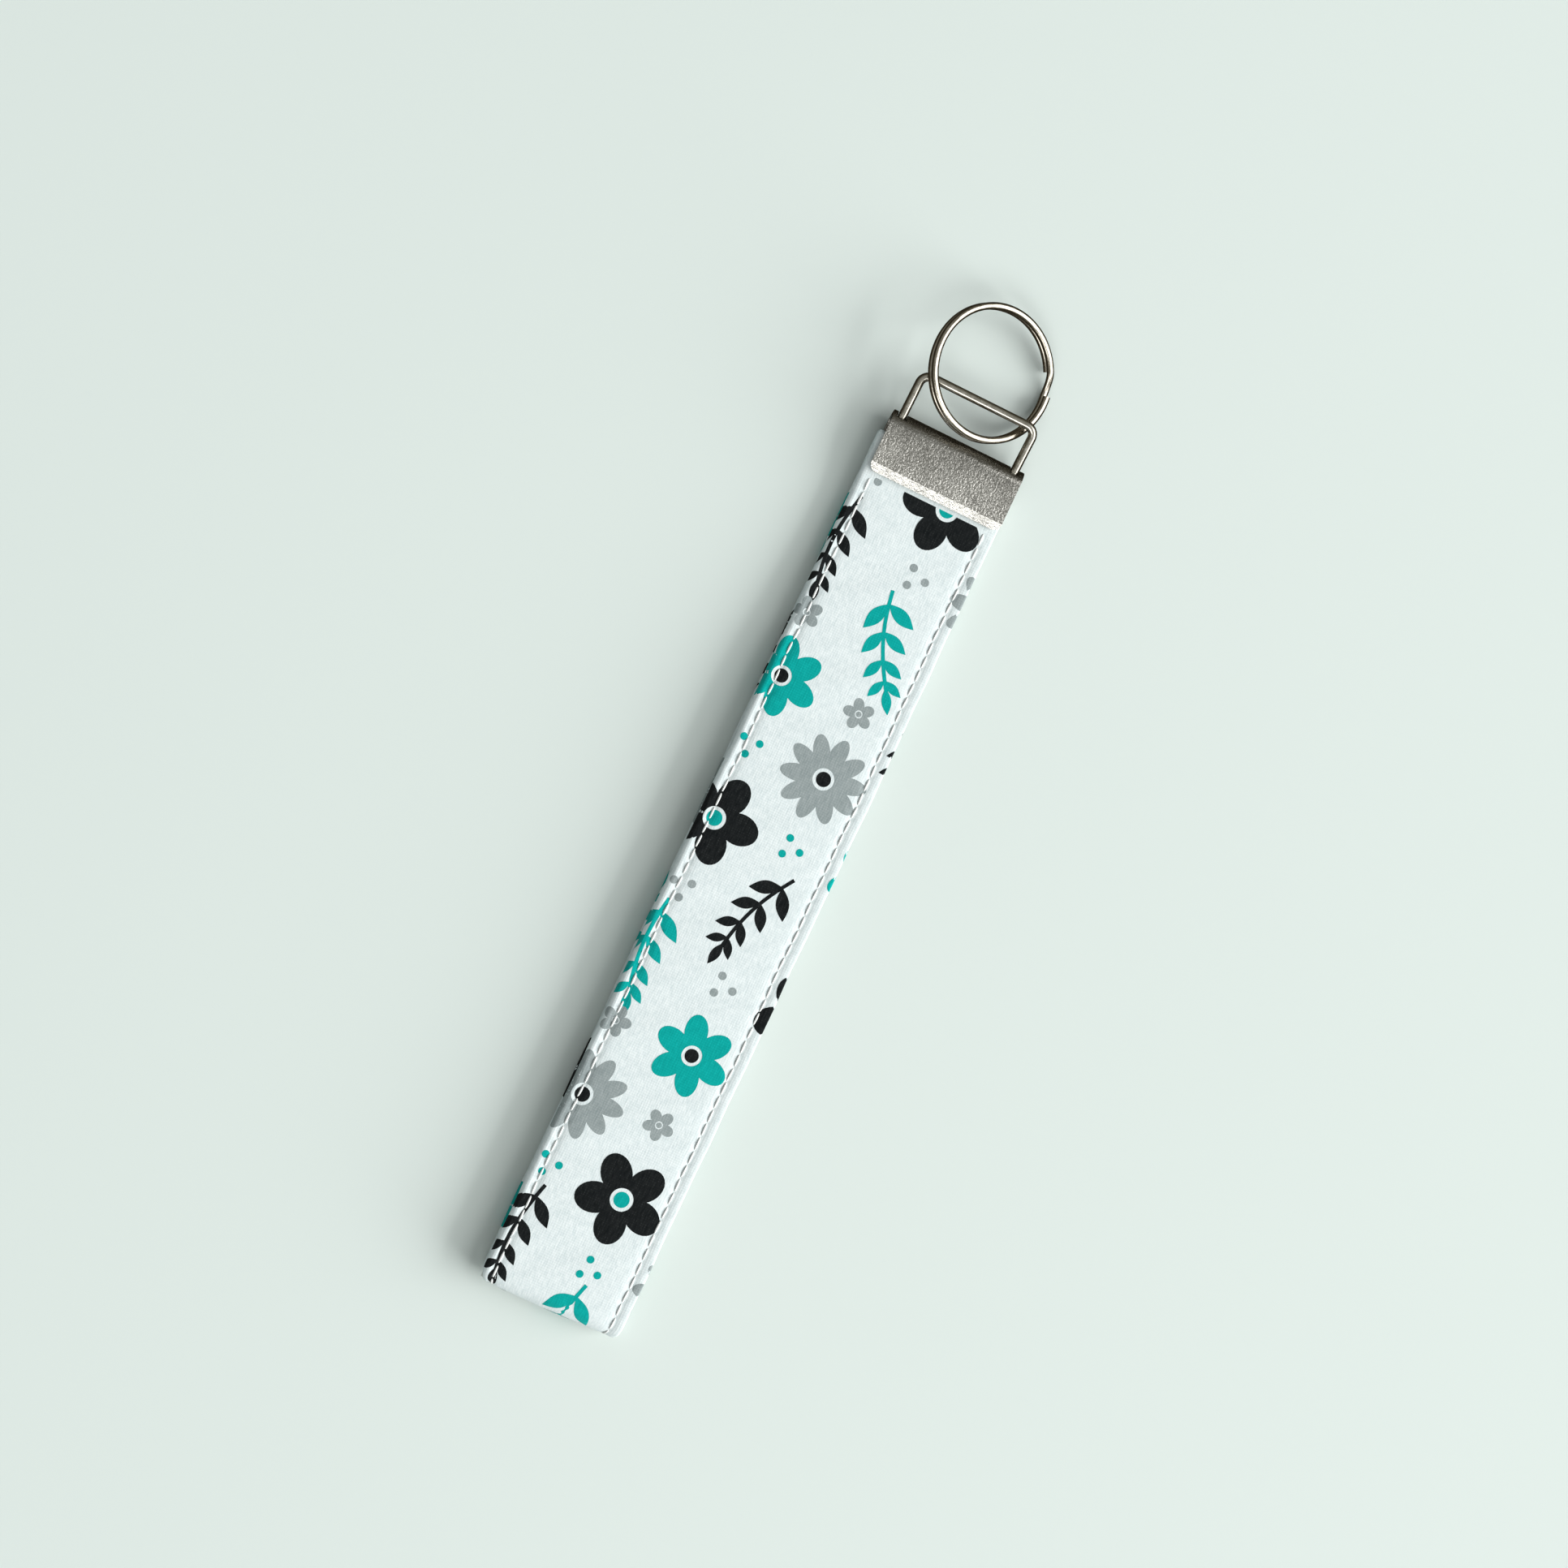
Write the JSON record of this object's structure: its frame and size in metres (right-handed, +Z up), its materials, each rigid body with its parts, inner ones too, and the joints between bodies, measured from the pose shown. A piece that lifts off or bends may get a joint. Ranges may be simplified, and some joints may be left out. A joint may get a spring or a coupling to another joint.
{
  "type": "wristlet key fob",
  "caption": "Printed cotton wrist strap folded into a flat loop, with a steel clamp over its ends, a hinged wire bail and a split ring for keys.",
  "frame": {"origin": "bottom centre of the bounding box, on the surface that the fob lies on, under the middle of the strap", "axes": "+Y along the strap from its folded end to the split ring, +X to the right seen from above, +Z up out of the strap's upper face"},
  "size_m": [0.027, 0.1966, 0.0105],
  "materials": {
    "printed_cotton": "plain-woven cotton, white ground with a printed floral in teal, black and grey",
    "interfacing": "unwoven white stiffener",
    "sewing_thread": "white polyester thread",
    "clamp_nickel": "satin nickel plate with a fine grain",
    "bail_nickel": "polished nickel plate",
    "ring_nickel": "polished nickel plate"
  },
  "bodies": {
    "strap": {"cotton_strip": "printed_cotton", "interfacing_strip": "interfacing", "needle_thread_left": "sewing_thread", "needle_thread_right": "sewing_thread", "bobbin_thread_left": "sewing_thread", "bobbin_thread_right": "sewing_thread", "clamp": "clamp_nickel"},
    "bail": {"bail": "bail_nickel"},
    "ring": {"split_ring": "ring_nickel"}
  },
  "joints": [
    {"name": "bail_swing", "type": "hinge", "parent": "strap", "child": "bail", "pos_m": [0.0005, 0.07003, 0.0027], "axis": [1, 0, 0], "range_deg": [-50, 20]},
    {"name": "ring_swing", "type": "hinge", "parent": "bail", "child": "ring", "pos_m": [0.0005, 0.07939, 0.00571], "axis": [1, 0, 0], "range_deg": [-60, 90]}
  ]
}
